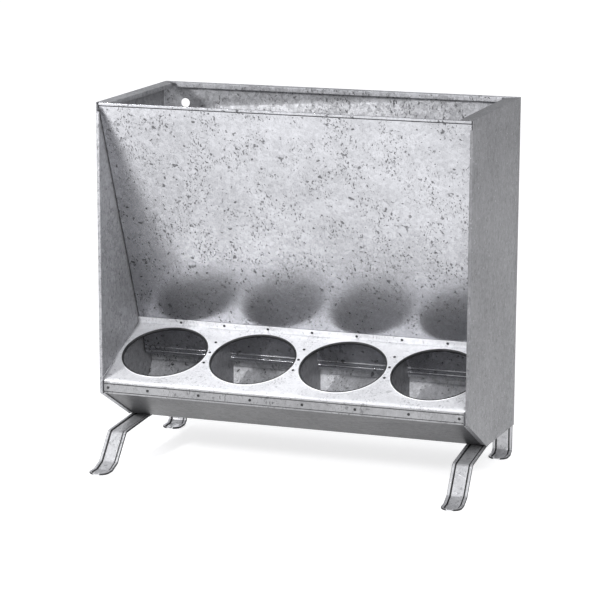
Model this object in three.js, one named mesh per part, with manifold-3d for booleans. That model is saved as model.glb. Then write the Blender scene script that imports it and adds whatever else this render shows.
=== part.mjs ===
// Four-place trough feeder in galvanised sheet steel: an open hopper over a covered trough.
// Millimetres, +X right, -Y front, +Z up. The origin is under the middle of the bounding box,
// on the ground. Inside this file the body is drawn in its own section coordinates: y = 0 at the
// front edge of the side panels, z = 0 on the underside of the trough. place() moves every
// finished piece from there to the frame of the object.

import * as THREE from 'three';
import { mergeVertices } from 'three/addons/utils/BufferGeometryUtils.js';
import Module from 'manifold-3d';

const wasm = await Module();
wasm.setup();

// Driving dimensions: the body
const BODY_WIDTH = 500;
const BODY_DEPTH = 240;
const RIM_HEIGHT = 436;            // trough underside to hopper rim
const STAND_HEIGHT = 48;           // ground to trough underside
const SHEET = 1;                   // sheet thickness, zinc included
const GAP = 0.3;                   // clearance between pieces that touch
const HALF = BODY_WIDTH / 2;
const INNER_HALF = HALF - SHEET - GAP;   // half width of what fits between the side panels
const REAR_DROP = 7;               // the body's underside falls this much towards the back

// Driving dimensions: the trough and its cover
const LIP_TOP = 68;
const LIP_BOTTOM = 52;
const LIP_HALF = 244;
const WALL_FOOT_Y = 97;            // where the slanted front wall reaches the underside
const FLOOR_END_Y = 133;
const CHUTE_SLOPE = 1.22;          // rise over run of the trough's rear slope
const JOINT_DOWN = 342.6;          // rim to tray joint, measured down the hopper front
const HOLE_RADIUS = 55.75;
const HOLE_PITCH = 124.2;
const HOLE_UP_SLOPE = 76.6;        // hole centre above the lip fold, measured up the tray
const HOLE_COUNT = 4;
const HOLE_SIDES = 48;
const RIM_BEAD = 2.8;

// Driving dimensions: the hopper
const THROAT_Y = 152;              // bottom edge of the hopper front
const THROAT_Z = 73;
const BOARD_Y = 178;               // front face of the hopper floor's upright lower part
const BOARD_TOP_Z = 80;            // where the hopper floor turns back towards the back panel
const BOARD_SLOPE = 1;
const BOARD_HEM = 4;
const SIDE_FLANGE = 18;
const BACK_FLANGE = 15;
const FLANGE_RETURN = 6;
const HEM_WIDTH = 4;               // folded front edge of the side panels, across
const HEM_DEPTH = 3.2;
const HEM_TOP = 424;
const HANGING_RADIUS = 6.3;
const HANGING_X = 221;
const HANGING_Z = 407;

// Driving dimensions: legs, feet and rivets
const STRAP_WIDTH = 27;
const STRAP_EDGE = 6;              // width of the folded edge along each side of a strap
const STRAP_THIN = 1.2;
const STRAP_THICK = 2.6;
const STRAP_X = INNER_HALF - STRAP_WIDTH / 2;
const LEG_INSET = 1;               // the front legs stand this much nearer the middle, and
const LEG_SPLAY = 1.7;             // turn out by this many degrees towards the front
const RIVET_HEAD = 2.3;
const RIVET_SHANK = 1.5;
const RIVET_SIDES = 10;

// Section directions, as (y, z) pairs
const panelLength = Math.hypot(THROAT_Y, RIM_HEIGHT - THROAT_Z);
const panelDown = [THROAT_Y / panelLength, (THROAT_Z - RIM_HEIGHT) / panelLength];
const panelOut = [panelDown[1], -panelDown[0]];
const jointY = panelDown[0] * JOINT_DOWN;
const jointZ = RIM_HEIGHT + panelDown[1] * JOINT_DOWN;
const trayLength = Math.hypot(jointY, jointZ - LIP_TOP);
const trayUp = [jointY / trayLength, (jointZ - LIP_TOP) / trayLength];
const trayOut = [-trayUp[1], trayUp[0]];
const wallLength = Math.hypot(WALL_FOOT_Y, LIP_BOTTOM);
const wallDown = [WALL_FOOT_Y / wallLength, -LIP_BOTTOM / wallLength];
const wallIn = [-wallDown[1], wallDown[0]];

// A point on a section line: along it from its start, then off it along its normal
function sectionPoint(start, along, normal, distance, offset) {
  return [
    start[0] + along[0] * distance + normal[0] * offset,
    start[1] + along[1] * distance + normal[1] * offset,
  ];
}

// Where two section lines cross, each given by a point and a direction
function crossing(pointA, alongA, pointB, alongB) {
  const cross = alongA[0] * alongB[1] - alongA[1] * alongB[0];
  const gapY = pointB[0] - pointA[0];
  const gapZ = pointB[1] - pointA[1];
  const distance = (gapY * alongB[1] - gapZ * alongB[0]) / cross;
  return sectionPoint(pointA, alongA, [0, 0], distance, 0);
}

// On the hopper front: down from the rim, and forward of its outermost face
const onPanel = (down, out) => sectionPoint([0, RIM_HEIGHT], panelDown, panelOut, down, out);
// On the tray: up from the lip fold, and above its top face
const onTray = (up, above) => sectionPoint([0, LIP_TOP], trayUp, trayOut, up, above);
// On the slanted front wall's line: down from the lip, and into the trough
const onWall = (down, into) => sectionPoint([0, LIP_BOTTOM], wallDown, wallIn, down, into);
// On the trough's rear slope, at a depth y, above its middle surface
const onChute = (y, above) => [y, SHEET / 2 + (y - FLOOR_END_Y) * CHUTE_SLOPE
  + above * Math.hypot(1, CHUTE_SLOPE)];

// ---------- solids ----------

function solidOf(geometry) {
  const bare = geometry.index ? geometry.toNonIndexed() : geometry.clone();
  bare.deleteAttribute('normal');
  bare.deleteAttribute('uv');
  const merged = mergeVertices(bare, 1e-4);
  return new wasm.Manifold(new wasm.Mesh({
    numProp: 3,
    vertProperties: new Float32Array(merged.attributes.position.array),
    triVerts: new Uint32Array(merged.index.array),
  }));
}

function extruded(outline, depth, basis, origin) {
  const shape = new THREE.Shape(outline.map(([u, v]) => new THREE.Vector2(u, v)));
  const geometry = new THREE.ExtrudeGeometry(shape, { depth, bevelEnabled: false });
  geometry.applyMatrix4(new THREE.Matrix4().makeBasis(...basis).setPosition(...origin));
  return solidOf(geometry);
}

const X = new THREE.Vector3(1, 0, 0);
const Y = new THREE.Vector3(0, 1, 0);
const Z = new THREE.Vector3(0, 0, 1);

// Prisms: a (y, z) outline along x, an (x, y) outline along z
const prismX = (outline, from, to) => extruded(outline, to - from, [Y, Z, X], [from, 0, 0]);
const prismZ = (outline, from, to) => extruded(outline, to - from, [X, Y, Z], [0, 0, from]);

const rectangle = (u0, v0, u1, v1) => [[u0, v0], [u1, v0], [u1, v1], [u0, v1]];
const box = (x0, y0, z0, x1, y1, z1) => prismX(rectangle(y0, z0, y1, z1), x0, x1);

// A box on each side of the body, between two distances from its middle
function boxPair(inner, y0, z0, outer, y1, z1) {
  return box(inner, y0, z0, outer, y1, z1).add(box(-outer, y0, z0, -inner, y1, z1));
}

// A round bar or hole on a given axis
function cylinder(radius, length, centre, axis, sides) {
  const geometry = new THREE.CylinderGeometry(radius, radius, length, sides);
  geometry.applyQuaternion(new THREE.Quaternion().setFromUnitVectors(Y, axis));
  geometry.translate(...centre);
  return solidOf(geometry);
}

// Replaces each inner corner of a section path with an arc
function rounded(path, radii, steps = 4) {
  const points = [path[0]];
  for (let i = 1; i < path.length - 1; i += 1) {
    const corner = new THREE.Vector2(...path[i]);
    const before = new THREE.Vector2(...path[i - 1]).sub(corner);
    const after = new THREE.Vector2(...path[i + 1]).sub(corner);
    before.normalize();
    after.normalize();
    const halfAngle = Math.acos(THREE.MathUtils.clamp(before.dot(after), -1, 1)) / 2;
    const reach = radii[i - 1] / Math.tan(halfAngle);
    const start = corner.clone().addScaledVector(before, reach);
    const end = corner.clone().addScaledVector(after, reach);
    const middle = before.clone().add(after).normalize();
    const centre = corner.clone().addScaledVector(middle, radii[i - 1] / Math.sin(halfAngle));
    const from = start.clone().sub(centre);
    const turn = from.angleTo(end.clone().sub(centre));
    const sign = Math.sign(from.cross(end.clone().sub(centre)));
    for (let k = 0; k <= steps; k += 1) {
      const spoke = from.clone().rotateAround(new THREE.Vector2(), (sign * turn * k) / steps);
      points.push([centre.x + spoke.x, centre.y + spoke.y]);
    }
  }
  points.push(path[path.length - 1]);
  return points;
}

// The outline of a bent sheet, from the middle line of its section
function sheetOutline(path, thickness) {
  const left = [];
  const right = [];
  path.forEach((point, i) => {
    const here = new THREE.Vector2(...point);
    const previous = new THREE.Vector2(...path[Math.max(i - 1, 0)]);
    const next = new THREE.Vector2(...path[Math.min(i + 1, path.length - 1)]);
    const into = here.clone().sub(previous).normalize();
    const out = next.clone().sub(here).normalize();
    const along = into.clone().add(out).normalize();
    const straight = into.lengthSq() > 0 ? into : out;
    const stretch = thickness / 2 / Math.max(along.dot(straight), 0.5);
    left.push([here.x - along.y * stretch, here.y + along.x * stretch]);
    right.push([here.x + along.y * stretch, here.y - along.x * stretch]);
  });
  return [...left, ...right.reverse()];
}

const bentSheet = (path, from, to, thickness = SHEET) =>
  prismX(sheetOutline(path, thickness), from, to);

// ---------- finished pieces ----------

const FOOT_TIP_Y = -42;
const middleY = (FOOT_TIP_Y + BODY_DEPTH) / 2;

const zinc = { color: 0xb4b7ba, roughness: 0.38, metalness: 0.85 };
const brightZinc = { color: 0xd2d4d6, roughness: 0.34, metalness: 0.8 };
const dullZinc = { color: 0x8d9194, roughness: 0.45, metalness: 0.85 };

const feeder = new THREE.Group();

function place(name, solid, look) {
  const { numProp, vertProperties, triVerts } = solid.getMesh();
  const positions = new Float32Array((vertProperties.length / numProp) * 3);
  for (let i = 0; i < positions.length / 3; i += 1) {
    positions.set(vertProperties.subarray(i * numProp, i * numProp + 3), i * 3);
  }
  const geometry = new THREE.BufferGeometry();
  geometry.setAttribute('position', new THREE.BufferAttribute(positions, 3));
  geometry.setIndex(new THREE.BufferAttribute(new Uint32Array(triVerts), 1));
  geometry.translate(0, -middleY, STAND_HEIGHT);
  const flat = geometry.toNonIndexed();
  flat.computeVertexNormals();
  const mesh = new THREE.Mesh(flat, new THREE.MeshStandardMaterial(look));
  mesh.name = name;
  feeder.add(mesh);
}

// ---------- rivets: where they sit, and the holes they need ----------

// Each rivet has its head's seat, the outward direction there, and the thickness it clamps
const GRIP = 2 * SHEET + GAP;
const forward = new THREE.Vector3(0, -1, 0);
const panelNormal = new THREE.Vector3(0, ...panelOut);
const trayNormal = new THREE.Vector3(0, ...trayOut);
const seat = (x, [y, z], out, grip) => ({ at: new THREE.Vector3(x, y, z), out, grip });

const LIP_RIVET_PITCH = 71;
const LIP_ROW_SHIFT = -5;
const LIP_END_X = 238.5;
const LIP_RIVET_Z = 60;
const lipRivetXs = [-LIP_END_X, LIP_END_X];
for (let i = 0; i < 6; i += 1) {
  lipRivetXs.push(LIP_ROW_SHIFT + (i - 2.5) * LIP_RIVET_PITCH);
}
lipRivetXs.sort((a, b) => a - b);
const lipRivets = lipRivetXs.map((x) => seat(x, [0, LIP_RIVET_Z], forward, GRIP));

const JOINT_FLANGE = 8.5;
const TRAY_FLANGE_FACE = 0.4;      // the tray's upturned edge stands this far off the hopper face
const PANEL_INSET = 0.9;           // the hopper's sheet lies this far behind its folded edges
const hopperRivets = [];
for (let i = 0; i < 2 * HOLE_COUNT - 1; i += 1) {
  const x = (i - (HOLE_COUNT - 1)) * (HOLE_PITCH / 2);
  hopperRivets.push(seat(x, onPanel(JOINT_DOWN - 4.6, TRAY_FLANGE_FACE), panelNormal,
    TRAY_FLANGE_FACE + PANEL_INSET + SHEET));
}

const DIVIDER_RIVET_STATIONS = [60, 84, 108];
const DIVIDER_RIVET_SHIFT = -1;
const dividerMiddles = [];
for (let i = 1; i < HOLE_COUNT; i += 1) {
  dividerMiddles.push((i - HOLE_COUNT / 2) * HOLE_PITCH);
}
const dividerRivets = dividerMiddles.flatMap((x) => DIVIDER_RIVET_STATIONS.map(
  (up) => seat(x + DIVIDER_RIVET_SHIFT, onTray(up, 0), trayNormal, GRIP)));

const LEG_RIVET_YS = [106, 124];
const FOOT_RIVET_ZS = [3, 22];
const down = new THREE.Vector3(0, 0, -1);
const strapWebFace = -GAP - STRAP_THICK / 2 - STRAP_THIN / 2;
const footWebFace = BODY_DEPTH - SHEET - GAP - STRAP_THICK / 2 - STRAP_THIN / 2;
const LEG_X = STRAP_X - LEG_INSET;
const legRivetsAt = (x) => LEG_RIVET_YS.map(
  (y) => seat(x, [y, strapWebFace], down, SHEET - strapWebFace));
const footRivetsAt = (x) => FOOT_RIVET_ZS.map((z) => (
  { ...seat(x, [footWebFace, z], forward, BODY_DEPTH - footWebFace), flush: true }));

// A solid turned about a rivet's axis, from (radius, height above its seat) points
function turned(points, { at, out }) {
  const profile = points.map(([r, h]) => new THREE.Vector2(r, h));
  const geometry = new THREE.LatheGeometry(profile, RIVET_SIDES);
  geometry.applyQuaternion(new THREE.Quaternion().setFromUnitVectors(Y, out));
  geometry.translate(at.x, at.y, at.z);
  return solidOf(geometry);
}

// A solid rivet: domed head and shank, then a flattened tail, or a flush one in a countersink
function rivet(one) {
  const end = -one.grip;
  const tail = one.flush
    ? [[0, end + 0.1], [RIVET_HEAD - 0.3, end + 0.1], [RIVET_SHANK, end + 0.9]]
    : [[0, end - GAP - 0.8], [RIVET_HEAD - 0.6, end - GAP - 0.8], [RIVET_HEAD - 0.3, end - GAP],
      [RIVET_SHANK, end - GAP]];
  const head = [[RIVET_SHANK, GAP], [RIVET_HEAD, GAP], [RIVET_HEAD * 0.65, GAP + 1], [0, GAP + 1.2]];
  return turned([...tail, ...head], one);
}

// The clearance hole that a rivet passes through
function rivetHole(one) {
  const radius = RIVET_SHANK + GAP;
  const end = -one.grip;
  const wall = one.flush
    ? [[0, end - 0.5], [RIVET_HEAD + 0.4, end - 0.5], [RIVET_HEAD, end], [radius, end + 0.9]]
    : [[0, end - 1.5], [radius, end - 1.5]];
  return turned([...wall, [radius, 1.5], [0, 1.5]], one);
}

const drilled = (solid, rivets) => rivets.reduce((left, one) => left.subtract(rivetHole(one)), solid);

// ---------- side panels ----------

// The right-hand panel; the left one is its mirror image
function sidePanel() {
  const face = prismX([
    [0, RIM_HEIGHT], [0, LIP_BOTTOM], [WALL_FOOT_Y, 0],
    [BODY_DEPTH, -REAR_DROP], [BODY_DEPTH, RIM_HEIGHT],
  ], HALF - SHEET, HALF);
  const frontHem = prismZ([
    [HALF, 0], [HALF - HEM_WIDTH + 0.8, 0], [HALF - HEM_WIDTH, 0.8],
    [HALF - HEM_WIDTH, HEM_DEPTH - 0.8], [HALF - HEM_WIDTH + 0.8, HEM_DEPTH], [HALF, HEM_DEPTH],
  ], LIP_BOTTOM, HEM_TOP);
  const innerX = HALF - SIDE_FLANGE;
  const flangeFront = 5.5;
  const flangeRear = BODY_DEPTH - BACK_FLANGE - 8;
  const topFlange = prismZ([
    [HALF, flangeFront], [innerX, flangeFront], [innerX, flangeRear],
    [HALF - 0.8, BODY_DEPTH - 1.6], [HALF, BODY_DEPTH - 1.6],
  ], RIM_HEIGHT - SHEET, RIM_HEIGHT);
  const topReturn = box(innerX, flangeFront, RIM_HEIGHT - FLANGE_RETURN,
    innerX + SHEET, flangeRear, RIM_HEIGHT);
  const wallFlange = prismX(sheetOutline([onWall(3, SHEET / 2), onWall(104, SHEET / 2)], SHEET),
    HALF - 6.5, HALF - SHEET / 2);
  return face.add(frontHem).add(topFlange).add(topReturn).add(wallFlange);
}

// ---------- back panel ----------

function backPanel() {
  const front = BODY_DEPTH - SHEET;
  const face = box(-INNER_HALF, front, -REAR_DROP, INNER_HALF, BODY_DEPTH, RIM_HEIGHT);
  const flangeY = BODY_DEPTH - BACK_FLANGE;
  const flangeX = HALF - SIDE_FLANGE - 4;
  const topFlange = prismZ([
    [-INNER_HALF + 0.5, BODY_DEPTH], [INNER_HALF - 0.5, BODY_DEPTH],
    [flangeX, flangeY], [-flangeX, flangeY],
  ], RIM_HEIGHT - SHEET, RIM_HEIGHT);
  const topReturn = box(-flangeX, flangeY, RIM_HEIGHT - FLANGE_RETURN, flangeX, flangeY + SHEET,
    RIM_HEIGHT);
  const sideFlanges = boxPair(INNER_HALF - SHEET, BODY_DEPTH - 13, 165, INNER_HALF, front + 0.5,
    RIM_HEIGHT - 3);
  const hemHalf = STRAP_X - STRAP_WIDTH / 2 - 2;
  const bottomHem = box(-hemHalf, BODY_DEPTH - 3.5, -REAR_DROP, hemHalf, front + 0.5, -1);
  let panel = face.add(topFlange).add(topReturn).add(sideFlanges).add(bottomHem);
  for (const x of [-HANGING_X, HANGING_X]) {
    panel = panel.subtract(cylinder(HANGING_RADIUS, 8, [x, BODY_DEPTH, HANGING_Z], Y, 32));
  }
  return drilled(panel, [...footRivetsAt(-STRAP_X), ...footRivetsAt(STRAP_X)]);
}

// ---------- hopper front ----------

function roundedBar(down0, down1, out0, out1) {
  const cut = Math.min(down1 - down0, out1 - out0) * 0.3;
  return prismX([
    onPanel(down0 + cut, out0), onPanel(down1 - cut, out0), onPanel(down1, out0 + cut),
    onPanel(down1, out1 - cut), onPanel(down1 - cut, out1), onPanel(down0 + cut, out1),
    onPanel(down0, out1 - cut), onPanel(down0, out0 + cut),
  ], -INNER_HALF, INNER_HALF);
}

function hopperFront() {
  const sheetMiddle = -PANEL_INSET - SHEET / 2;
  const face = bentSheet([onPanel(1, sheetMiddle), onPanel(panelLength - 1, sheetMiddle)],
    -INNER_HALF, INNER_HALF);
  const topHem = roundedBar(0.8, 5.2, -2.4, 0);
  const upperRail = roundedBar(panelLength - 11.3, panelLength - 5.9, -2.4, 0.6);
  const lowerRail = roundedBar(panelLength - 5.4, panelLength, -3.4, 1.4);
  const flangeOutline = [
    onPanel(14, sheetMiddle), onPanel(panelLength - 16, sheetMiddle),
    onPanel(panelLength - 22, sheetMiddle - 11), onPanel(20, sheetMiddle - 11),
  ];
  const sideFlanges = prismX(flangeOutline, INNER_HALF - SHEET, INNER_HALF)
    .add(prismX(flangeOutline, -INNER_HALF, -INNER_HALF + SHEET));
  return drilled(face.add(topHem).add(upperRail).add(lowerRail).add(sideFlanges), hopperRivets);
}

// ---------- feeding tray ----------

// The rolled edge of a feeding hole, turned about the hole's axis: it stands above the tray
// all round, and only a thin collar turns down through it
function holeEdge(centre) {
  const profile = [
    [0, -2.4], [1.2, -2.4], [1.2, -0.5], [RIM_BEAD, -0.5],
    [RIM_BEAD, 0.2], [RIM_BEAD * 0.7, 1.1], [RIM_BEAD * 0.3, 1.15], [0, 0.3], [0, -2.4],
  ].map(([r, h]) => new THREE.Vector2(HOLE_RADIUS + r, h));
  const geometry = new THREE.LatheGeometry(profile, HOLE_SIDES);
  geometry.applyQuaternion(new THREE.Quaternion().setFromUnitVectors(Y, trayNormal));
  geometry.translate(...centre);
  return solidOf(geometry);
}

// Room for the side panels' folded front edges
const hemClearance = () => boxPair(LIP_HALF, -5, LIP_BOTTOM - 5, HALF + 1, 4.6, LIP_TOP + 12);

function feedingTray() {
  const flangeMiddle = TRAY_FLANGE_FACE - SHEET / 2;
  const trayStart = onTray(0, -SHEET / 2);
  const path = rounded([
    [SHEET / 2, LIP_BOTTOM],
    crossing(trayStart, trayUp, [SHEET / 2, 0], [0, 1]),
    crossing(trayStart, trayUp, onPanel(0, flangeMiddle), panelDown),
    onPanel(JOINT_DOWN - JOINT_FLANGE, flangeMiddle),
  ], [1.6, 1.2]);
  const endFlange = [onTray(8, -0.5), onTray(124, -0.5), onTray(118, -9), onTray(14, -9)];
  let tray = bentSheet(path, -INNER_HALF, INNER_HALF)
    .add(prismX(endFlange, INNER_HALF - SHEET, INNER_HALF))
    .add(prismX(endFlange, -INNER_HALF, -INNER_HALF + SHEET))
    .subtract(hemClearance());
  const [holeY, holeZ] = onTray(HOLE_UP_SLOPE, 0);
  for (let i = 0; i < HOLE_COUNT; i += 1) {
    const centre = [(i - (HOLE_COUNT - 1) / 2) * HOLE_PITCH, holeY, holeZ];
    tray = tray.subtract(cylinder(HOLE_RADIUS + 0.6, 12, centre, trayNormal, HOLE_SIDES))
      .add(holeEdge(centre));
  }
  return drilled(tray, [...lipRivets, ...hopperRivets, ...dividerRivets]);
}

// ---------- trough pan ----------

function troughPan() {
  const upstandY = SHEET * 1.5 + GAP;
  const wallOffset = SHEET * 1.5 + GAP;
  const wallStart = onWall(0, wallOffset);
  const wallTop = crossing(wallStart, wallDown, [upstandY, 0], [0, 1]);
  const wallFoot = crossing(wallStart, wallDown, [0, SHEET / 2], [1, 0]);
  const rearY = BOARD_Y + SHEET * 1.5 + GAP;
  const path = rounded([
    [upstandY, LIP_TOP - 3], wallTop, wallFoot, [FLOOR_END_Y, SHEET / 2],
    onChute(rearY, 0), [rearY, onChute(rearY, 0)[1] + 16],
  ], [1.5, 6, 5, 2]);
  const pan = bentSheet(path, -INNER_HALF, INNER_HALF).subtract(hemClearance());
  return drilled(pan, [...lipRivets, ...legRivetsAt(-LEG_X), ...legRivetsAt(LEG_X)]);
}

// ---------- hopper floor ----------

// The board that closes the hopper's rear: upright in front of the trough pan's rear edge, with
// a hem along its foot, then sloping back to a flange on the back panel
function hopperFloor() {
  const frontY = BOARD_Y + SHEET / 2;
  const rearY = BODY_DEPTH - SHEET * 1.5 - GAP;
  const footZ = onChute(BOARD_Y, SHEET / 2)[1] + 1.6;
  const topZ = BOARD_TOP_Z + (rearY - frontY) * BOARD_SLOPE;
  const board = bentSheet(rounded([
    [frontY, footZ + 0.5], [frontY, BOARD_TOP_Z], [rearY, topZ], [rearY, topZ + 14],
  ], [5, 4]), -INNER_HALF, INNER_HALF);
  const hem = prismX([
    [BOARD_Y + SHEET, footZ + 0.6], [BOARD_Y + SHEET - 0.5, footZ], [BOARD_Y - 0.9, footZ],
    [BOARD_Y - 1.4, footZ + 0.6], [BOARD_Y - 1.4, footZ + BOARD_HEM - 0.6],
    [BOARD_Y - 0.9, footZ + BOARD_HEM], [BOARD_Y + SHEET, footZ + BOARD_HEM],
  ], -INNER_HALF, INNER_HALF);
  return board.add(hem);
}

// ---------- dividers between the feeding places ----------

function divider(middleX) {
  const clear = 1.3;
  const underTray = -SHEET - GAP;
  const frontY = 3.6;
  const wallClear = SHEET * 1.5 + GAP + clear;
  const wallStart = onWall(0, wallClear);
  const floorZ = SHEET / 2 + clear;
  const rearY = 154;
  const railClear = 5;
  const outline = [
    onTray(5, underTray), [frontY, LIP_TOP - 2.2],
    crossing(wallStart, wallDown, [frontY, 0], [0, 1]),
    crossing(wallStart, wallDown, [0, floorZ], [1, 0]),
    [FLOOR_END_Y - 0.5, floorZ], onChute(rearY, clear),
    [rearY, THROAT_Z - 4], [THROAT_Y - 6, THROAT_Z - 4],
    onPanel(panelLength - 3, railClear), onPanel(JOINT_DOWN + 8, railClear), onTray(134, underTray),
  ];
  const plate = prismX(outline, middleX + 3.2, middleX + 4.2);
  const flange = prismX([
    onTray(8, underTray), onTray(132, underTray),
    onTray(132, underTray - SHEET), onTray(8, underTray - SHEET),
  ], middleX - 4.7, middleX + 4.2);
  return drilled(plate.add(flange), dividerRivets);
}

// ---------- straps: front legs and rear feet ----------

// A pressed strap: a thin web between two folded edges, following a bent path
function strap(path, middleX) {
  const half = STRAP_WIDTH / 2;
  return bentSheet(path, middleX - half, middleX + half, STRAP_THIN)
    .add(bentSheet(path, middleX - half, middleX - half + STRAP_EDGE, STRAP_THICK))
    .add(bentSheet(path, middleX + half - STRAP_EDGE, middleX + half, STRAP_THICK));
}

// Rounds the two corners at a strap's free end, which points to the front at tipY
function roundedTip(solid, middleX, tipY, radius = 7) {
  const half = STRAP_WIDTH / 2;
  let left = solid;
  for (const side of [-1, 1]) {
    const cornerX = middleX + side * half;
    const centreX = cornerX - side * radius;
    const outline = [[cornerX + side, tipY - 1], [centreX, tipY - 1]];
    for (let k = 0; k <= 4; k += 1) {
      const angle = (Math.PI / 8) * k;
      outline.push([centreX + side * radius * Math.sin(angle),
        tipY + radius - radius * Math.cos(angle)]);
    }
    outline.push([cornerX + side, tipY + radius]);
    left = left.subtract(prismZ(outline, -STAND_HEIGHT - 2, -STAND_HEIGHT + 12));
  }
  return left;
}

const strapTop = -GAP - STRAP_THICK / 2;
const soleZ = -STAND_HEIGHT + STRAP_THICK / 2;

// A front leg at x, turned out about its rear rivet
function frontLeg(x) {
  const path = rounded([
    [130, strapTop], [WALL_FOOT_Y, strapTop], [26, -6], [-3, -40.5], [-19, soleZ],
    [FOOT_TIP_Y, soleZ],
  ], [20, 7, 6, 5]);
  const pivotY = LEG_RIVET_YS[1];
  const leg = roundedTip(strap(path, x), x, FOOT_TIP_Y)
    .translate([-x, -pivotY, 0])
    .rotate([0, 0, Math.sign(x) * LEG_SPLAY])
    .translate([x, pivotY, 0]);
  return drilled(leg, legRivetsAt(x));
}

function rearFoot(x) {
  const plateY = BODY_DEPTH - SHEET - GAP - STRAP_THICK / 2;
  const tipY = 206;
  const path = rounded([[plateY, 31], [plateY, -42], [plateY - 6.5, soleZ], [tipY, soleZ]], [3, 3]);
  return drilled(roundedTip(strap(path, x), x, tipY), footRivetsAt(x));
}

// ---------- the assembly ----------

place('side_panel_right', sidePanel(), zinc);
place('side_panel_left', sidePanel().mirror([1, 0, 0]), zinc);
place('back_panel', backPanel(), zinc);
place('hopper_front_panel', hopperFront(), zinc);
place('feeding_tray', feedingTray(), brightZinc);
place('trough_pan', troughPan(), zinc);
place('hopper_floor', hopperFloor(), zinc);
dividerMiddles.forEach((x, i) => place(`divider_${i + 1}`, divider(x), zinc));

for (const [side, sign] of [['left', -1], ['right', 1]]) {
  place(`front_leg_${side}`, frontLeg(sign * LEG_X), brightZinc);
  place(`rear_foot_${side}`, rearFoot(sign * STRAP_X), brightZinc);
}

const rivetRows = {
  lip_rivet: lipRivets,
  hopper_rivet: hopperRivets,
  divider_rivet: dividerRivets,
  leg_rivet: [...legRivetsAt(-LEG_X), ...legRivetsAt(LEG_X)],
  foot_rivet: [...footRivetsAt(-STRAP_X), ...footRivetsAt(STRAP_X)],
};
for (const [row, rivets] of Object.entries(rivetRows)) {
  rivets.forEach((one, i) => place(`${row}_${i + 1}`, rivet(one), dullZinc));
}

export default feeder;
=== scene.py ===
"""Looks for the four-place trough feeder: galvanised sheet, studio light and camera."""

import math

import bmesh
import bpy
from mathutils import Matrix, Vector


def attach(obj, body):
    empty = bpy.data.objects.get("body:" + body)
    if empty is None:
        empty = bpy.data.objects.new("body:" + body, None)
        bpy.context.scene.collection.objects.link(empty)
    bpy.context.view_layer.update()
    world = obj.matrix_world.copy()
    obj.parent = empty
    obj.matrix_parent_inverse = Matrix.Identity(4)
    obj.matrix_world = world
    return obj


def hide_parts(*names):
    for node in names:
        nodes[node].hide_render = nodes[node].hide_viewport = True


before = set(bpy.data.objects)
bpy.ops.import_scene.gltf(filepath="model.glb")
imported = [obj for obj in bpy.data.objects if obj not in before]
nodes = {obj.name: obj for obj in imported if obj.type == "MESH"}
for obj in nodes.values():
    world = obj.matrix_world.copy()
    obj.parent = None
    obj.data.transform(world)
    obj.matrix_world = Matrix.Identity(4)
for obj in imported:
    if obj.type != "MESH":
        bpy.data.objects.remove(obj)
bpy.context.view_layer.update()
scene = bpy.context.scene

# ---------- camera, in metres ----------

CAMERA_PLACE = (1.01533, -2.98323, 0.89904)
CAMERA_AZIMUTH = math.radians(18.906)
CAMERA_ELEVATION = math.radians(12.112)
CAMERA_ROLL = math.radians(0.175)
CAMERA_LENS = 147.75
SENSOR_WIDTH = 36
VIEW_DEPTH = 100


def add_camera():
    """A camera turned by its azimuth and elevation, then rolled a little."""
    level = math.cos(CAMERA_ELEVATION)
    back = Vector((math.sin(CAMERA_AZIMUTH) * level, -math.cos(CAMERA_AZIMUTH) * level,
                   math.sin(CAMERA_ELEVATION)))
    right = Vector((math.cos(CAMERA_AZIMUTH), math.sin(CAMERA_AZIMUTH), 0))
    up = back.cross(right)
    turned_right = right * math.cos(CAMERA_ROLL) + up * math.sin(CAMERA_ROLL)
    turned_up = up * math.cos(CAMERA_ROLL) - right * math.sin(CAMERA_ROLL)
    data = bpy.data.cameras.new("camera")
    data.sensor_width = SENSOR_WIDTH
    data.lens = CAMERA_LENS
    data.clip_end = VIEW_DEPTH
    camera = bpy.data.objects.new("camera", data)
    turn = Matrix((turned_right, turned_up, back)).transposed().to_4x4()
    camera.matrix_world = Matrix.Translation(CAMERA_PLACE) @ turn
    scene.collection.objects.link(camera)
    scene.camera = camera


# ---------- light, in metres and watts ----------

LAMP_AIM = (0, 0, 0.2)
LAMPS = {
    "key": {"place": (-0.92, -1.29, 0.93), "size": 0.20, "power": 16},
    "fill": {"place": (1.2, -2.0, 1.3), "size": 1.8, "power": 38},
}
SKY_COLOUR = (0.97, 0.975, 1.0, 1)
SKY_STRENGTH = 0.68


def add_area(name, place, size, power):
    light = bpy.data.lights.new(name, "AREA")
    light.shape = "DISK"
    light.size = size
    light.energy = power
    lamp = bpy.data.objects.new(name, light)
    lamp.location = place
    lamp.rotation_euler = (Vector(LAMP_AIM) - Vector(place)).to_track_quat("-Z", "Y").to_euler()
    scene.collection.objects.link(lamp)


def add_light():
    world = bpy.data.worlds.new("studio")
    scene.world = world
    world.use_nodes = True
    sky = world.node_tree.nodes["Background"]
    sky.inputs["Color"].default_value = SKY_COLOUR
    sky.inputs["Strength"].default_value = SKY_STRENGTH
    for name, lamp in LAMPS.items():
        add_area(name, lamp["place"], lamp["size"], lamp["power"])


# ---------- materials ----------


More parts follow.
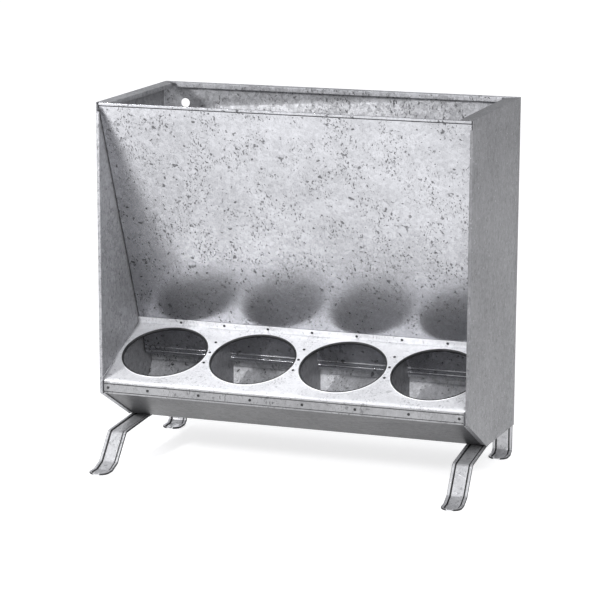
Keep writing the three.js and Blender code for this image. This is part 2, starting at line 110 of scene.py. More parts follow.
class Graph:
    """A material's node tree with short calls for adding and joining nodes."""

    def __init__(self, name):
        self.material = bpy.data.materials.new(name)
        self.material.use_nodes = True
        self.tree = self.material.node_tree
        self.shader = self.tree.nodes["Principled BSDF"]
        self.place = self.add("ShaderNodeTexCoord").outputs["Object"]

    def add(self, kind, **inputs):
        node = self.tree.nodes.new(kind)
        for key, value in inputs.items():
            self.put(node, key, value)
        return node

    def put(self, node, key, value):
        """Links a socket, or sets its value; the key is the input's name or its number."""
        socket = node.inputs[key]
        if isinstance(value, bpy.types.NodeSocket):
            self.tree.links.new(value, socket)
        else:
            socket.default_value = value

    def mapped(self, turn=(0, 0, 0), scale=(1, 1, 1), shift=(0, 0, 0)):
        node = self.add("ShaderNodeMapping", Vector=self.place, Rotation=turn, Scale=scale,
                        Location=shift)
        return node.outputs["Vector"]

    def noise(self, vector, scale, detail=2.0, roughness=0.5, distortion=0.0):
        node = self.add("ShaderNodeTexNoise", Vector=vector, Scale=scale, Detail=detail,
                        Roughness=roughness, Distortion=distortion)
        return node.outputs["Fac"]

    def cells(self, vector, scale):
        return self.add("ShaderNodeTexVoronoi", Vector=vector, Scale=scale).outputs["Color"]

    def between(self, value, low, high):
        """A smooth step from 0 at the low value to 1 at the high one."""
        node = self.add("ShaderNodeMapRange", Value=value)
        node.interpolation_type = "SMOOTHSTEP"
        self.put(node, "From Min", low)
        self.put(node, "From Max", high)
        return node.outputs["Result"]

    def math(self, operation, first, second=0.0, third=0.0):
        node = self.add("ShaderNodeMath")
        node.operation = operation
        for i, value in enumerate((first, second, third)):
            self.put(node, i, value)
        return node.outputs[0]

    def mix(self, factor, first, second):
        """A mix of two colours, which are the mix node's inputs 6 and 7 and its output 2."""
        node = self.add("ShaderNodeMix")
        node.data_type = "RGBA"
        self.put(node, 0, factor)
        self.put(node, 6, first)
        self.put(node, 7, second)
        return node.outputs[2]

    def bump(self, height, distance, strength, normal=None):
        node = self.add("ShaderNodeBump", Height=height, Distance=distance, Strength=strength)
        if normal is not None:
            self.put(node, "Normal", normal)
        return node.outputs["Normal"]


def grey(value, tint=0.0):
    """A neutral colour, slightly cool for a positive tint."""
    return (value * (1 - tint * 0.5), value * (1 - tint * 0.3), value * (1 + tint), 1)


# Scales are per metre; a range is the part of a noise that turns into marks
CRYSTAL_SCALE = 210.0
GRAIN_SCALE = 520.0
CLOUD_SCALE = 9.0
WIDE_RANGE = (0.3, 0.7)
CLUSTER_SCALE = 30.0
CLUSTER_RANGE = (0.44, 0.60)
FLECK_SCALE = 420.0
FLECK_RANGE = (0.545, 0.64)
FLECK_TURN = (0.2, 0.7, 0.1)
FLECK_STRETCH = (1, 1, 0.5)
FLECKS_OUTSIDE_CLUSTERS = 0.15
SPOT_SCALE = 150.0
SPOT_RANGE = (0.66, 0.74)
SPOT_SHIFT = (3.1, 1.7, 0.4)
SPOT_STRENGTH = 0.8
SPARKLE_SCALE = 340.0
SPARKLE_RANGE = (0.66, 0.74)
SPARKLE_TURN = (0.4, 0.3, 0.9)
SPARKLE_SHIFT = (5, 2, 1)
SPARKLE_COLOUR = grey(0.92, 0.02)
WARP_SCALE = 60.0
WARP_DEPTH = 0.006
WAVE_SCALE = 7.0
WAVE_DEPTH = 0.004
WAVE_STRENGTH = 0.30
RELIEF_DEPTH = 0.0006
GRAIN_SHARE = 0.6
CLOUD_SHARE = 0.25
ROUGHER_WHEN_DARK = 0.14
MARK_RELIEF = 0.6


def warped(graph, place):
    """The place moved about a little, so that crystals have no straight edges."""
    noise = graph.add("ShaderNodeTexNoise", Vector=place, Scale=WARP_SCALE, Detail=2.0)
    moved = graph.add("ShaderNodeVectorMath")
    moved.operation = "MULTIPLY_ADD"
    graph.put(moved, 0, noise.outputs["Color"])
    graph.put(moved, 1, (WARP_DEPTH, WARP_DEPTH, WARP_DEPTH))
    graph.put(moved, 2, place)
    return moved.outputs[0]


def dark_marks(graph, place, shift):
    """Fine flecks, mostly in clusters, and a few larger spots."""
    cluster = graph.between(graph.noise(place, CLUSTER_SCALE, 3.0, 0.6), *CLUSTER_RANGE)
    drawn = graph.mapped(turn=FLECK_TURN, scale=FLECK_STRETCH, shift=shift)
    fleck = graph.between(graph.noise(drawn, FLECK_SCALE, 2.5, 0.65, 0.6), *FLECK_RANGE)
    spotted = graph.mapped(shift=SPOT_SHIFT)
    spot = graph.between(graph.noise(spotted, SPOT_SCALE, 1.0, 0.5, 0.2), *SPOT_RANGE)
    weight = graph.math("MULTIPLY_ADD", cluster, 1 - FLECKS_OUTSIDE_CLUSTERS,
                        FLECKS_OUTSIDE_CLUSTERS)
    return graph.math("MAXIMUM", graph.math("MULTIPLY", fleck, weight),
                      graph.math("MULTIPLY", spot, SPOT_STRENGTH))


def sparkles(graph, strength):
    """Small bright crystals."""
    place = graph.mapped(turn=SPARKLE_TURN, shift=SPARKLE_SHIFT)
    bright = graph.between(graph.noise(place, SPARKLE_SCALE, 2.0, 0.6), *SPARKLE_RANGE)
    return graph.math("MULTIPLY", bright, strength)


def galvanised(name, light, dark, roughness, metallic, flecks=0.5, grain=0.35, relief=0.5,
               shift=(0, 0, 0), sparkle=0.0):
    """Hot-dip zinc on sheet steel: fine crystals, dark flecks in clusters, a slight wave."""
    graph = Graph(name)
    base = graph.mapped(shift=shift)
    bent = warped(graph, base)
    crystal = graph.add("ShaderNodeSeparateColor", Color=graph.cells(bent, CRYSTAL_SCALE)).outputs[0]
    fine = graph.noise(bent, GRAIN_SCALE, 2.0, 0.6)
    cloud = graph.noise(base, CLOUD_SCALE, 3.0, 0.55)
    marks = graph.math("MULTIPLY", dark_marks(graph, base, shift), flecks)

    tone = graph.math("MULTIPLY", crystal, grain)
    tone = graph.math("MULTIPLY_ADD", graph.between(fine, *WIDE_RANGE), grain * GRAIN_SHARE, tone)
    tone = graph.math("MULTIPLY_ADD", graph.between(cloud, *WIDE_RANGE), CLOUD_SHARE, tone)
    shade = graph.math("ADD", tone, marks)
    shade.node.use_clamp = True
    colour = graph.mix(shade, light, dark)
    if sparkle:
        colour = graph.mix(sparkles(graph, sparkle), colour, SPARKLE_COLOUR)
    graph.put(graph.shader, "Base Color", colour)
    graph.put(graph.shader, "Roughness",
              graph.math("MULTIPLY_ADD", shade, ROUGHER_WHEN_DARK, roughness))
    graph.put(graph.shader, "Metallic", metallic)

    wavy = graph.bump(graph.noise(base, WAVE_SCALE, 1.0, 0.4), WAVE_DEPTH, WAVE_STRENGTH)
    crystals = graph.math("MULTIPLY_ADD", fine, 0.5, graph.math("MULTIPLY", crystal, 0.5))
    crystals = graph.math("SUBTRACT", crystals, graph.math("MULTIPLY", marks, MARK_RELIEF))
    graph.put(graph.shader, "Normal", graph.bump(crystals, RELIEF_DEPTH, relief, wavy))
    return graph.material


COOL = 0.035


def make_materials():
    return {
        "front": galvanised("zinc_front", grey(0.60, COOL), grey(0.12, COOL), 0.20, 0.88,
                            flecks=0.80, grain=0.18, relief=0.22),
        "tray": galvanised("zinc_tray", grey(0.90, 0.02), grey(0.34, COOL), 0.34, 0.30,
                           flecks=0.5, grain=0.16, relief=0.25, shift=(1.3, 0.2, 0.7)),
        # The lip: a darker copy of the tray's zinc, painted shade on the upright face
        "lip": galvanised("zinc_lip_painted_shade", grey(0.33, 0.02), grey(0.09, COOL), 0.42, 0.50,
                          flecks=0.55, grain=0.2, relief=0.3, shift=(5.3, 3.2, 0.4)),
        # A near-white copy of the zinc for the painted highlight ring round each hole's bead
        "painted_highlight": galvanised("zinc_painted_highlight", grey(0.92, 0.01), grey(0.65, COOL), 0.32, 0.3,
                             flecks=0.2, grain=0.1, relief=0.1, shift=(0.3, 6.2, 1.7)),
        "side": galvanised("zinc_side", grey(0.43, COOL), grey(0.15, COOL), 0.42, 0.50,
                           flecks=0.5, grain=0.35, relief=0.8, shift=(0.2, 2.1, 0.5), sparkle=0.4),
        # The right side panel: a much darker copy of the side panels' zinc, painted shade on the
        # side away from the key lamp
        "side_right_painted_shade": galvanised("zinc_side_right_painted_shade", grey(0.225, COOL), grey(0.10, COOL), 0.42, 0.50,
                                 flecks=0.4, grain=0.3, relief=0.9, shift=(3.2, 5.1, 2.5),
                                 sparkle=0.35),
        "back": galvanised("zinc_back", grey(0.66, COOL), grey(0.12, COOL), 0.42, 0.45,
                           flecks=0.75, grain=0.35, relief=0.9, shift=(4.2, 0.1, 0.9), sparkle=0.4),
        "pan": galvanised("zinc_pan", grey(0.72, COOL), grey(0.06, COOL), 0.40, 0.10,
                          flecks=0.6, grain=0.25, relief=0.5, shift=(2.2, 1.1, 1.9)),
        # The trough pan's faces turned down or to the front: a much darker copy of the pan's zinc,
        # painted shade
        "pan_under_painted_shade": galvanised("zinc_pan_under_painted_shade", grey(0.11, COOL), grey(0.06, COOL), 0.40, 0.70,
                                flecks=0.35, grain=0.3, relief=0.3, shift=(6.2, 2.1, 0.9)),
        "strap": galvanised("zinc_strap", grey(0.74, 0.02), grey(0.22, COOL), 0.32, 0.60,
                            flecks=0.5, grain=0.2, relief=0.4, shift=(0.9, 4.1, 2.9)),
        "divider": galvanised("zinc_divider", grey(0.45, COOL), grey(0.14, COOL), 0.38, 0.7,
                              flecks=0.5, grain=0.3, relief=0.4, shift=(3.9, 1.1, 0.3)),
        # Near-black painted shade, laid on creases, grooves, the side seams of the hopper front and
        # the inside of each hole's bead
        "painted_shade": galvanised("zinc_painted_shade", grey(0.06, COOL), grey(0.02, COOL), 0.5, 0.5,
                          flecks=0.4, grain=0.4, relief=0.3, shift=(2.9, 0.7, 1.1)),
        "rivet": galvanised("zinc_rivet", grey(0.04, COOL), grey(0.01, COOL), 0.5, 0.4,
                            flecks=0.5, grain=0.4, relief=0.4, shift=(1.9, 3.1, 1.3)),
    }


# ---------- section geometry, in millimetres ----------

# Section coordinates: y = 0 at the front edge of the side panels, z = 0 under the trough
MIDDLE_Y = 99
STAND_HEIGHT = 48
INNER_HALF = 248.7
RIM_HEIGHT = 436
THROAT = (152, 73)
JOINT_DOWN = 342.6
LIP_TOP = 68
LIP_BOTTOM = 52
LIP_HALF = 244
HOLE_RADIUS = 55.75
HOLE_PITCH = 124.2
HOLE_UP = 76.6
HOLE_COUNT = 4

panel_length = math.hypot(THROAT[0], RIM_HEIGHT - THROAT[1])
panel_down = (THROAT[0] / panel_length, (THROAT[1] - RIM_HEIGHT) / panel_length)
panel_out = (panel_down[1], -panel_down[0])
joint = (panel_down[0] * JOINT_DOWN, RIM_HEIGHT + panel_down[1] * JOINT_DOWN)
tray_length = math.hypot(joint[0], joint[1] - LIP_TOP)
tray_up = (joint[0] / tray_length, (joint[1] - LIP_TOP) / tray_length)
tray_out = (-tray_up[1], tray_up[0])


def in_frame(x, y, z):
    """A section place in the frame's metres, from the ground under the middle."""
    return (x / 1000, (y - MIDDLE_Y) / 1000, (z + STAND_HEIGHT) / 1000)


def on_line(start, along, normal, distance, offset):
    return (start[0] + along[0] * distance + normal[0] * offset,
            start[1] + along[1] * distance + normal[1] * offset)


def on_panel(down, out):
    """On the hopper front: down from its top edge, and forward of its outermost face."""
    return on_line((0, RIM_HEIGHT), panel_down, panel_out, down, out)


def on_tray(up, above):
    """On the tray: up from the lip fold, and above its top face."""
    return on_line((0, LIP_TOP), tray_up, tray_out, up, above)


def rounded(path, radii, steps=6):
    """The section path with each inner corner turned into an arc."""
    points = [path[0]]
    for i, radius in enumerate(radii, start=1):
        corner = Vector(path[i])
        before = (Vector(path[i - 1]) - corner).normalized()
        after = (Vector(path[i + 1]) - corner).normalized()
        half = math.acos(max(-1, min(1, before.dot(after)))) / 2
        centre = corner + (before + after).normalized() * (radius / math.sin(half))
        start = corner + before * (radius / math.tan(half)) - centre
        end = corner + after * (radius / math.tan(half)) - centre
        turn = math.atan2(start.x * end.y - start.y * end.x, start.dot(end))
        for k in range(steps + 1):
            cosine = math.cos(turn * k / steps)
            sine = math.sin(turn * k / steps)
            points.append((centre.x + start.x * cosine - start.y * sine,
                           centre.y + start.x * sine + start.y * cosine))
    points.append(path[-1])
    return points


# ---------- pieces; lengths in this section are in metres ----------

SHEET_THICKNESS = 0.001
WELD = 0.00002
CAD_WELD = 0.000002
FLAT_ANGLE = math.radians(0.5)
FOLD_ROUNDING = 0.0005
FOLD_ANGLE = math.radians(35)
UNDERSIDE_BELOW = -0.2
FRONT_BELOW = -0.9

# Marks: where a face's look stands in its piece's list of looks. The second mark is painted shade,
# the third a painted highlight, the fourth the lip's painted shade
PLAIN, PAINTED_SHADE, PAINTED_HIGHLIGHT, LIP_PAINTED_SHADE = range(4)


class Skin:
    """A mesh being gathered from grids of points; each face has a mark for its look."""

    def __init__(self):
        self.points = []
        self.faces = []
        self.marks = []

    def grid(self, rows, closed=False, mark=None, caps=False):
        """Adds faces between rows of points; mark tells a face's mark from its row and column."""
        start = len(self.points)
        count = len(rows[0])
        self.points += [point for row in rows for point in row]
        for i in range(len(rows) - 1):
            for j in range(count if closed else count - 1):
                k = (j + 1) % count
                self.faces.append((start + i * count + j, start + i * count + k,
                                   start + (i + 1) * count + k, start + (i + 1) * count + j))
                self.marks.append(mark(i, j) if mark else PLAIN)
        if caps:
            last = start + (len(rows) - 1) * count
            self.faces.append(tuple(range(start + count - 1, start - 1, -1)))
            self.faces.append(tuple(range(last, last + count)))
            self.marks += [PLAIN, PLAIN]

    def piece(self, name, looks_used, replaced, weld=WELD, closed=False):
        mesh = bpy.data.meshes.new(name)
        mesh.from_pydata(self.points, [], self.faces)
        for look in looks_used:
            mesh.materials.append(looks[look])
        mesh.polygons.foreach_set("material_index", self.marks)
        work = bmesh.new()
        work.from_mesh(mesh)
        bmesh.ops.remove_doubles(work, verts=work.verts, dist=weld)
        if closed:
            bmesh.ops.recalc_face_normals(work, faces=work.faces)
        work.to_mesh(mesh)
        work.free()
        return finished(name, mesh, replaced)


def finished(name, mesh, replaced):
    """A smooth-shaded piece of the frame, in place of the CAD nodes it replaces."""
    mesh.polygons.foreach_set("use_smooth", [True] * len(mesh.polygons))
    obj = bpy.data.objects.new(name, mesh)
    scene.collection.objects.link(obj)
    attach(obj, "root")
    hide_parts(*replaced)
    return obj


def thicken(obj):
    """Gives an open skin the sheet's thickness, behind its faces."""
    solid = obj.modifiers.new("sheet", "SOLIDIFY")
    solid.thickness = SHEET_THICKNESS
    solid.offset = -1


def keep_folds(obj, angle):
    """Smooth shading, except over bends sharper than the angle in degrees."""
    obj.data.set_sharp_from_angle(angle=math.radians(angle))


def softened(name, look, under=None):
    """A CAD node's shape with its folds rounded; faces to the front or below may take a second look,
    for the trough pan a darker copy painted as shade.
    """
    mesh = nodes[name].data.copy()
    mesh.materials.clear()
    mesh.materials.append(looks[look])
    mesh.materials.append(looks[under or look])
    work = bmesh.new()
    work.from_mesh(mesh)
    bmesh.ops.remove_doubles(work, verts=work.verts, dist=CAD_WELD)
    bmesh.ops.dissolve_limit(work, angle_limit=FLAT_ANGLE, verts=work.verts, edges=work.edges)
    for face in work.faces:
        # Faces turned down or to the front take the second look, for the trough pan a darker
        # painted-shade copy
        turned_away = face.normal.z < UNDERSIDE_BELOW or face.normal.y < FRONT_BELOW
        face.material_index = 1 if turned_away else 0
    work.to_mesh(mesh)
    work.free()
    obj = finished(f"{name}_sheet", mesh, [name])
    bevel = obj.modifiers.new("folds", "BEVEL")
    bevel.width = FOLD_ROUNDING
    bevel.segments = 2
    bevel.limit_method = "ANGLE"
    bevel.angle_limit = FOLD_ANGLE
    bevel.harden_normals = True


# ---------- hopper front; lengths from here on are in millimetres ----------

PANEL_FACE = -0.9
MIDDLE_COLUMNS = range(-220, 221, 40)
BEND = 2.4
BEND_STEPS = 6
# Cells from each side edge inwards that take the near-black painted shade: the flange and the outer
# part of the bend
SEAM_SHADE_CELLS = 6
FLANGE = 11
FLANGE_MIDDLE = 6
# The side flanges start this far below the top edge, end this far above the foot, and taper in
FLANGE_FROM_RIM = 14
FLANGE_FROM_FOOT = 16
FLANGE_TAPER = 6
# Highest places: the sheet's face under the top edge, and its bends and flanges
FACE_BELOW_RIM = 0.3
BEND_BELOW_RIM = 1.4
# Bars across the sheet: start, end and height
HEM = (0.8, 5.0, 0.9)
RAILS = [(panel_length - 11.3, panel_length - 6.1, 1.5), (panel_length - 5.3, panel_length, 2.3)]
BAR_SQUARENESS = 5
GROOVE = (5.0, 6.2)
GROOVE_DEPTH = 0.8
# Round the rails the sheet lies a little deeper
RAIL_BED = 14
RAIL_BED_DEPTH = 0.3
HEM_STATIONS = [0.8, 1.0, 1.4, 2.2, 3.2, 4.2, 4.7, 5.0, 5.05, 5.3, 5.9, 6.15, 6.25, 8, 14, 20]
SHEET_STATIONS = [40 + 20 * i for i in range(15)]
RAIL_SHARES = (0, 0.04, 0.12, 0.3, 0.5, 0.7, 0.88, 0.96, 1)


def relief(down):
    """How far the hem and rails stand off the hopper front's sheet."""
    for start, end, height in [HEM, *RAILS]:
        if start <= down <= end:
            across = 2 * (down - start) / (end - start) - 1
            return height * (1 - abs(across) ** BAR_SQUARENESS) ** 0.5
    if GROOVE[0] < down < GROOVE[1]:
        return -GROOVE_DEPTH
    if panel_length - down > RAIL_BED:
        return 0.0
    return -RAIL_BED_DEPTH


def panel_columns():
    """Across the hopper front: place, depth behind the face (negative), share of the relief."""
    side = []
    for step in range(BEND_STEPS + 1):
        angle = math.radians(90 * step / BEND_STEPS)
        side.append((INNER_HALF - BEND + BEND * math.sin(angle), -BEND + BEND * math.cos(angle),
                     math.cos(angle)))
    side += [(INNER_HALF, -FLANGE_MIDDLE, 0), (INNER_HALF, -FLANGE, 0)]
    middle = [(x, 0, 1) for x in MIDDLE_COLUMNS]
    return [(-x, behind, share) for x, behind, share in reversed(side)] + middle + side


def hopper_front():
    """The sloping front with its hem, double rail, side bends and side flanges."""
    stations = HEM_STATIONS + SHEET_STATIONS
    for start, end, _ in RAILS:
        stations += [start - 0.1] + [start + (end - start) * share for share in RAIL_SHARES]
    stations.reverse()
    columns = panel_columns()
    rows = []
    for down in stations:
        reach = max(0, min(1, (down - FLANGE_FROM_RIM) / FLANGE_TAPER,
                           (panel_length - FLANGE_FROM_FOOT - down) / FLANGE_TAPER))
        deepest = -BEND - (FLANGE - BEND) * reach
        row = []
        for x, behind, share in columns:
            y, z = on_panel(down, PANEL_FACE + max(behind, deepest) + relief(down) * share)
            highest = RIM_HEIGHT - (FACE_BELOW_RIM if share == 1 else BEND_BELOW_RIM)
            row.append(in_frame(x, y, min(z, highest)))
        rows.append(row)

    # Painted shade: the bend and flange cells at each side and the groove under the hem take the
    # near-black look
    def mark(row, column):
        seam = min(column, len(columns) - 2 - column) < SEAM_SHADE_CELLS
        return PAINTED_SHADE if seam or GROOVE[0] <= stations[row] < GROOVE[1] else PLAIN

    skin = Skin()
    skin.grid(rows, mark=mark)
    obj = skin.piece("hopper_front_sheet", ["front", "painted_shade"], ["hopper_front_panel"],
                     weld=0)
    keep_folds(obj, 50)
    thicken(obj)


# ---------- feeding tray ----------

# The rolled hole edge: outwards from the hole, and above the tray
BEAD = [(0.0, -2.4), (0.0, -0.4), (0.15, 0.2), (0.55, 0.75), (1.15, 1.05), (1.75, 1.0), (2.3, 0.65),
        (2.7, 0.25), (3.2, 0.04), (4.2, 0.0)]
# How many of the bead's innermost rows take near-black painted shade, over the collar and the inner
# top of the bead
BEAD_PAINTED_SHADE_ROWS = 6
# How many bead rows just outside the shaded ones take the painted highlight
BEAD_PAINTED_HIGHLIGHT_ROWS = 2
HOLE_STEPS = 96
CORNER_CLEARANCE = 0.01
CELL_SHARES = (0.3, 0.65, 1.0)
LEVEL = 1e-9
HEM_DEPTH = 4.8
TRAY_LOW = 2.0
TRAY_HIGH = tray_length - 1.2
LIP_COLUMNS = 12
# The lip's face and foot: y and z; the grooves are its fold lines
LIP_GROOVE = 0.24
LIP_FACE = [(0, LIP_TOP - 1.2), (0, 65.9), (LIP_GROOVE, 65.7), (LIP_GROOVE, 64.7), (0, 64.5),
            (0, 60), (0, 55.2), (LIP_GROOVE, 55.0), (LIP_GROOVE, 54.2), (0, 54.0),
            (0, LIP_BOTTOM + 0.5), (0.5, LIP_BOTTOM), (0.7, LIP_BOTTOM)]
# The rear flange on the hopper front: up from the joint, and forward of its face
REAR_FLANGE = [(0.9, 0.7), (1.7, 0.42), (3, 0.4), (6, 0.4), (8.0, 0.4), (8.5, 0.0), (8.5, -0.4)]
# The end flanges: depths below the tray, span along it, and taper with depth
END_FLANGE_DEPTHS = (0, 4, 9)
END_FLANGE_SPAN = (8, 60, 124)
END_FLANGE_TAPER = 0.6


def clear_of_hems(x, y):
    """Keeps the lip's ends off the side panels' folded front edges."""
    return max(-LIP_HALF, min(LIP_HALF, x)) if y < HEM_DEPTH else x


def ray_length(direction, low, high):
    """How far a ray from 0 runs before it leaves the range from low to high."""
    if abs(direction) <= LEVEL:
        return math.inf
    return (high if direction > 0 else low) / direction


def hole_cell(skin, index):
    """The tray round one feeding hole, out to its share of the tray."""
    middle = (index - (HOLE_COUNT - 1) / 2) * HOLE_PITCH
    left = -INNER_HALF if index == 0 else middle - HOLE_PITCH / 2
    right = INNER_HALF if index == HOLE_COUNT - 1 else middle + HOLE_PITCH / 2
    corners = [math.atan2(up - HOLE_UP, x - middle) % math.tau
               for x in (left, right) for up in (TRAY_LOW, TRAY_HIGH)]
    even = [math.tau * k / HOLE_STEPS for k in range(HOLE_STEPS)]
    angles = [a for a in even if all(abs(a - corner) > CORNER_CLEARANCE for corner in corners)]
    bead_edge = HOLE_RADIUS + BEAD[-1][0]
    rings = [[] for _ in range(len(BEAD) + len(CELL_SHARES))]
    for angle in sorted(angles + corners):
        cosine = math.cos(angle)
        sine = math.sin(angle)
        reach = min(ray_length(cosine, left - middle, right - middle),
                    ray_length(sine, TRAY_LOW - HOLE_UP, TRAY_HIGH - HOLE_UP))
        for ring, (out, above) in zip(rings, BEAD):
            radius = min(HOLE_RADIUS + out, reach)
            y, z = on_tray(HOLE_UP + radius * sine, above)
            ring.append(in_frame(middle + radius * cosine, y, z))
        for ring, share in zip(rings[len(BEAD):], CELL_SHARES):
            radius = bead_edge + (reach - bead_edge) * share
            y, z = on_tray(HOLE_UP + radius * sine, 0)
            ring.append(in_frame(clear_of_hems(middle + radius * cosine, y), y, z))
    plain_rows = len(rings) - 1 - BEAD_PAINTED_SHADE_ROWS - BEAD_PAINTED_HIGHLIGHT_ROWS
    # Painted shade on the innermost bead rows, a painted highlight on the rows just outside them
    marks = [PLAIN] * plain_rows + [PAINTED_HIGHLIGHT] * BEAD_PAINTED_HIGHLIGHT_ROWS + [PAINTED_SHADE] * BEAD_PAINTED_SHADE_ROWS
    skin.grid(rings[::-1], closed=True, mark=lambda row, column: marks[row])


def lip(skin, columns):
    """The fold at the tray's lower edge and the upright lip, with painted shade along its fold lines
    and over the lip's face.
    """
    fold = [on_tray(TRAY_LOW, 0), on_tray(TRAY_LOW - 0.4, 0), on_tray(1.2, -0.05),
            on_tray(0.5, -0.35)]
    section = (fold + LIP_FACE)[::-1]
    # The fold-line grooves take near-black painted shade, the rest of the lip its darker
    # painted-shade copy of the tray
    marks = [PAINTED_SHADE if a[0] == b[0] == LIP_GROOVE else LIP_PAINTED_SHADE for a, b in zip(section, section[1:])]
    bright = len(fold) - 1
    marks[-bright:] = [PLAIN] * bright
    skin.grid([[in_frame(clear_of_hems(x, y), y, z) for x in columns] for y, z in section],
              mark=lambda row, column: marks[row])


def tray_flanges(skin, columns):
    """The upturned rear edge on the hopper front, and a flange down each side panel."""
    rear = [on_tray(TRAY_HIGH, 0), on_tray(TRAY_HIGH + 0.3, 0)]
    rear += [on_panel(JOINT_DOWN - up, out) for up, out in REAR_FLANGE]
    skin.grid([[in_frame(x, y, z) for x in columns] for y, z in rear])
    low, middle, high = END_FLANGE_SPAN
    for side in (-1, 1):
        rows = []
        for depth in END_FLANGE_DEPTHS:
            taper = depth * END_FLANGE_TAPER
            rows.append([in_frame(side * INNER_HALF, *on_tray(up, -depth))
                         for up in (low + taper, middle, high - taper)])
        skin.grid(rows[::side])


def feeding_tray():
    skin = Skin()
    for index in range(HOLE_COUNT):
        hole_cell(skin, index)
    inner = [LIP_HALF * (k + 0.5) / LIP_COLUMNS for k in range(LIP_COLUMNS)]
    columns = sorted({round(side * x, 3) for side in (-1, 1)
                      for x in [INNER_HALF, LIP_HALF] + inner})
    lip(skin, columns)
    tray_flanges(skin, columns)
    obj = skin.piece("feeding_tray_sheet", ["tray", "painted_shade", "painted_highlight", "lip"],
                     ["feeding_tray"])
    keep_folds(obj, 40)
    thicken(obj)


# ---------- straps ----------

STRAP_HALF = 13.5
# Half a strap's outer side: across from the middle, and height over the web
STRAP_PROFILE = [(-13.5, 0.0), (-13.35, 0.8), (-12.9, 1.2), (-12.2, 1.3), (-10.8, 1.3), (-10.2, 1.1),
                 (-9.8, 0.4), (-9.5, -0.35), (-7.7, -0.35), (-7.0, -0.1), (-5.5, 0.0), (-3.0, 0.02)]
RIB_INNER_EDGE = 10
RIB_WALL = 0.3
RIB_BACK = 1.3
WEB_BACK = 0.9
# What takes painted shade across a strap: the groove inside each rib, and the outer edges
PAINTED_SHADE_GROOVE = (7.5, 9.9)
PAINTED_SHADE_EDGE = 12.8
OUTER_SIDE_ABOVE = -0.5
TOE_RADIUS = 11
TOE_SHARES = (1, 0.75, 0.5, 0.32, 0.18, 0.08, 0.02)


def strap_ring():
    """One closed ring across a strap: ribs, grooves and web outside, a nearly flat back."""
    outer = STRAP_PROFILE + [(-across, out) for across, out in reversed(STRAP_PROFILE)]
    back = [(across, -min(abs(out) + RIB_WALL, RIB_BACK) if abs(across) > RIB_INNER_EDGE
             else -WEB_BACK) for across, out in outer[1:-1]]
    return outer + back[::-1]


def strap_marks(ring):
    """Painted shade in the grooves inside the ribs and along the outer edges."""
    marks = []
    for (across, out), (next_across, _) in zip(ring, ring[1:] + ring[:1]):
        near, far = sorted((abs(across), abs(next_across)))
        groove = PAINTED_SHADE_GROOVE[0] < near and far < PAINTED_SHADE_GROOVE[1] and out > OUTER_SIDE_ABOVE
        marks.append(PAINTED_SHADE if groove or near > PAINTED_SHADE_EDGE else PLAIN)
    return marks


def strap(name, path, middle_x, pivot_y=0.0, turn=0.0):
    """A pressed strap along a section path that ends in a rounded toe, turned about a pivot."""
    end = Vector(path[-1])
    along = (end - Vector(path[-2])).normalized()
    toe = [TOE_RADIUS * share for share in TOE_SHARES]
    path = path[:-1] + [tuple(end - along * short) for short in toe]
    widths = [STRAP_HALF] * (len(path) - len(toe))
    widths += [STRAP_HALF - TOE_RADIUS + math.sqrt(TOE_RADIUS ** 2 - (TOE_RADIUS - short) ** 2)
               for short in toe]
    ring = strap_ring()
    marks = strap_marks(ring)
    cosine = math.cos(turn)
    sine = math.sin(turn)
    rows = []
    for i, (point, half) in enumerate(zip(path, widths)):
        into = (Vector(point) - Vector(path[max(i - 1, 0)])).normalized()
        onward = (Vector(path[min(i + 1, len(path) - 1)]) - Vector(point)).normalized()
        tangent = (into + onward).normalized()
        row = []
        for across, out in ring:
            x = across * half / STRAP_HALF
            y = point[0] + tangent.y * out - pivot_y
            z = point[1] - tangent.x * out
            row.append(in_frame(middle_x + x * cosine - y * sine,
                                pivot_y + x * sine + y * cosine, z))
        rows.append(row)
    skin = Skin()
    skin.grid(rows, closed=True, caps=True, mark=lambda row, column: marks[column])
    obj = skin.piece(f"{name}_strap", ["strap", "painted_shade"], [name], weld=0, closed=True)
    keep_folds(obj, 50)


STRAP_X = 235.2
LEG_X = 234.2
SOLE_Z = -46.7
STRAP_TOP = -1.6
LEG_PATH = [(130, STRAP_TOP), (97, STRAP_TOP), (26, -6), (-3, -40.5), (-19, SOLE_Z), (-41.8, SOLE_Z)]
LEG_RADII = [20, 7, 6, 5]
LEG_PIVOT_Y = 124
LEG_SPLAY = math.radians(1.7)
FOOT_PATH = [(237.4, 31), (237.4, -42), (230.9, SOLE_Z), (206.2, SOLE_Z)]
FOOT_RADII = [3, 3]


def legs_and_feet():
    leg = rounded(LEG_PATH, LEG_RADII)
    foot = rounded(FOOT_PATH, FOOT_RADII)
    for side, name in ((-1, "left"), (1, "right")):
        strap(f"front_leg_{name}", leg, side * LEG_X, LEG_PIVOT_Y, side * LEG_SPLAY)
        strap(f"rear_foot_{name}", foot, side * STRAP_X)


# ---------- rivets ----------

# Profiles: radius, and height over the face that the rivet sits on
RIVET_PROFILE = [(1.5, -1.6), (1.5, 0.1), (1.75, 0.12), (1.85, 0.35), (1.7, 0.7), (1.35, 1.0),
                 (0.9, 1.2), (0.4, 1.28), (0.1, 1.26)]
FLUSH_TAIL = [(1.5, -1.6), (1.5, -0.9), (2.0, -0.14), (1.6, -0.1), (0.1, -0.1)]
RIVET_TAIL = [(1.5, 0.0), (1.9, 0.1), (2.0, 0.5), (1.6, 0.8), (0.1, 0.85)]
RIVET_STEPS = 20
TAIL_GAP = 0.3
THIN_GRIP = 2.3
STRAP_GRIP = 3.2
LIP_RIVET_Z = 60
LIP_RIVET_ENDS = 238.5
LIP_RIVET_PITCH = 71
LIP_RIVET_SHIFT = -5
HOPPER_RIVET_UP = 4.6
HOPPER_RIVET_OUT = 0.4
HOPPER_RIVET_COUNT = 7
DIVIDER_SHIFT = -1
DIVIDER_RIVET_UPS = (60, 84, 108)
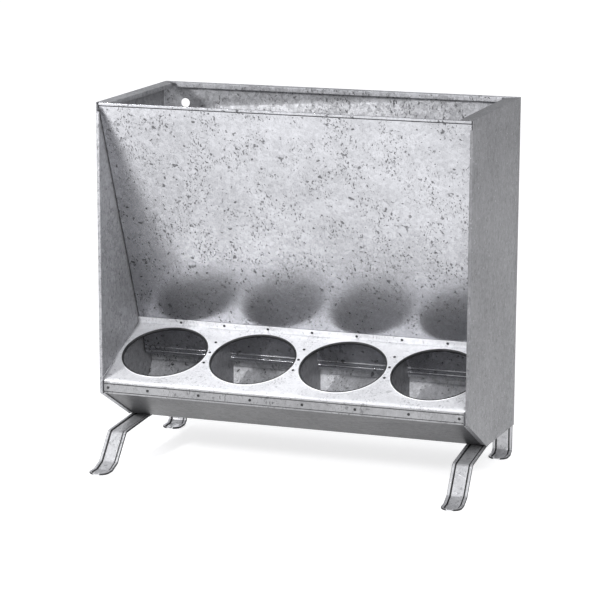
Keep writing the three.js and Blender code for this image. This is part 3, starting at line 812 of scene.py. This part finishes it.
STRAP_RIVET_PLACES = ((106, 3), (124, 22))
LEG_RIVET_Z = -2.2
FOOT_RIVET_Y = 236.8


def turned(skin, at, axis, profile):
    """Adds a profile turned about an axis through a place."""
    side = Vector((1, 0, 0))
    other = axis.cross(side)
    rows = []
    for radius, height in profile:
        ring = []
        for k in range(RIVET_STEPS):
            angle = math.tau * k / RIVET_STEPS
            spoke = side * math.cos(angle) + other * math.sin(angle)
            ring.append(in_frame(*(at + spoke * radius + axis * height)))
        rows.append(ring)
    skin.grid(rows, closed=True, caps=True)


def rivet(name, x, point, out, grip, flush=False):
    """A head at a section point, facing out, and a tail at the other end of its grip."""
    at = Vector((x, *point))
    axis = Vector((0, *out))
    skin = Skin()
    turned(skin, at, axis, RIVET_PROFILE)
    if flush:
        turned(skin, at - axis * grip, -axis, FLUSH_TAIL)
    else:
        turned(skin, at - axis * (grip + TAIL_GAP), -axis, RIVET_TAIL)
    obj = skin.piece(f"{name}_head", ["rivet"], [name], weld=0, closed=True)
    keep_folds(obj, 60)


def sheet_rivets():
    """The rivets of the lip, of the hopper and tray joint, and of the dividers."""
    lip_places = [-LIP_RIVET_ENDS, LIP_RIVET_ENDS]
    lip_places += [LIP_RIVET_SHIFT + (i - 2.5) * LIP_RIVET_PITCH for i in range(6)]
    for number, x in enumerate(sorted(lip_places), start=1):
        rivet(f"lip_rivet_{number}", x, (0, LIP_RIVET_Z), (-1, 0), THIN_GRIP)
    on_joint = on_panel(JOINT_DOWN - HOPPER_RIVET_UP, HOPPER_RIVET_OUT)
    for i in range(HOPPER_RIVET_COUNT):
        rivet(f"hopper_rivet_{i + 1}", (i - 3) * HOLE_PITCH / 2, on_joint, panel_out, THIN_GRIP)
    number = 0
    for i in (1, 2, 3):
        for up in DIVIDER_RIVET_UPS:
            number += 1
            rivet(f"divider_rivet_{number}", (i - 2) * HOLE_PITCH + DIVIDER_SHIFT, on_tray(up, 0),
                  tray_out, THIN_GRIP)


def strap_rivets():
    """Two rivets for each leg, from below, and two for each foot, flush at the back."""
    number = 0
    for side in (-1, 1):
        for leg_y, foot_z in STRAP_RIVET_PLACES:
            number += 1
            rivet(f"leg_rivet_{number}", side * LEG_X, (leg_y, LEG_RIVET_Z), (0, -1), STRAP_GRIP)
            rivet(f"foot_rivet_{number}", side * STRAP_X, (FOOT_RIVET_Y, foot_z), (-1, 0),
                  STRAP_GRIP, flush=True)


def build_pieces():
    hopper_front()
    feeding_tray()
    legs_and_feet()
    sheet_rivets()
    strap_rivets()
    softened("side_panel_left", "side")
    softened("side_panel_right", "side_right_painted_shade")
    softened("back_panel", "back")
    softened("trough_pan", "pan", "pan_under_painted_shade")
    softened("hopper_floor", "pan")
    for i in (1, 2, 3):
        softened(f"divider_{i}", "divider")


# ---------- floor, in metres ----------

FLOOR_HALF = 40
FLOOR_PLACE = (0, 0, -0.0005)
FLOOR_GREYS = [(0.60, 0.60, 0.605, 1), (0.64, 0.64, 0.645, 1)]
FLOOR_GLOW = 0.66


def add_floor():
    """Pale paper, partly self-lit, in place of the photograph's white ground."""
    graph = Graph("floor_paper")
    cloud = graph.between(graph.noise(graph.place, 3.0), *WIDE_RANGE)
    graph.put(graph.shader, "Base Color", graph.mix(cloud, *FLOOR_GREYS))
    graph.put(graph.shader, "Roughness", 0.9)
    graph.put(graph.shader, "Specular IOR Level", 0.1)
    graph.put(graph.shader, "Emission Color", (1.0, 1.0, 1.0, 1))
    graph.put(graph.shader, "Emission Strength", FLOOR_GLOW)
    mesh = bpy.data.meshes.new("floor")
    work = bmesh.new()
    bmesh.ops.create_grid(work, x_segments=8, y_segments=8, size=FLOOR_HALF)
    work.to_mesh(mesh)
    work.free()
    mesh.materials.append(graph.material)
    floor = bpy.data.objects.new("floor", mesh)
    floor.location = FLOOR_PLACE
    scene.collection.objects.link(floor)


scene.view_settings.view_transform = "Standard"
add_camera()
add_light()
looks = make_materials()
build_pieces()
add_floor()
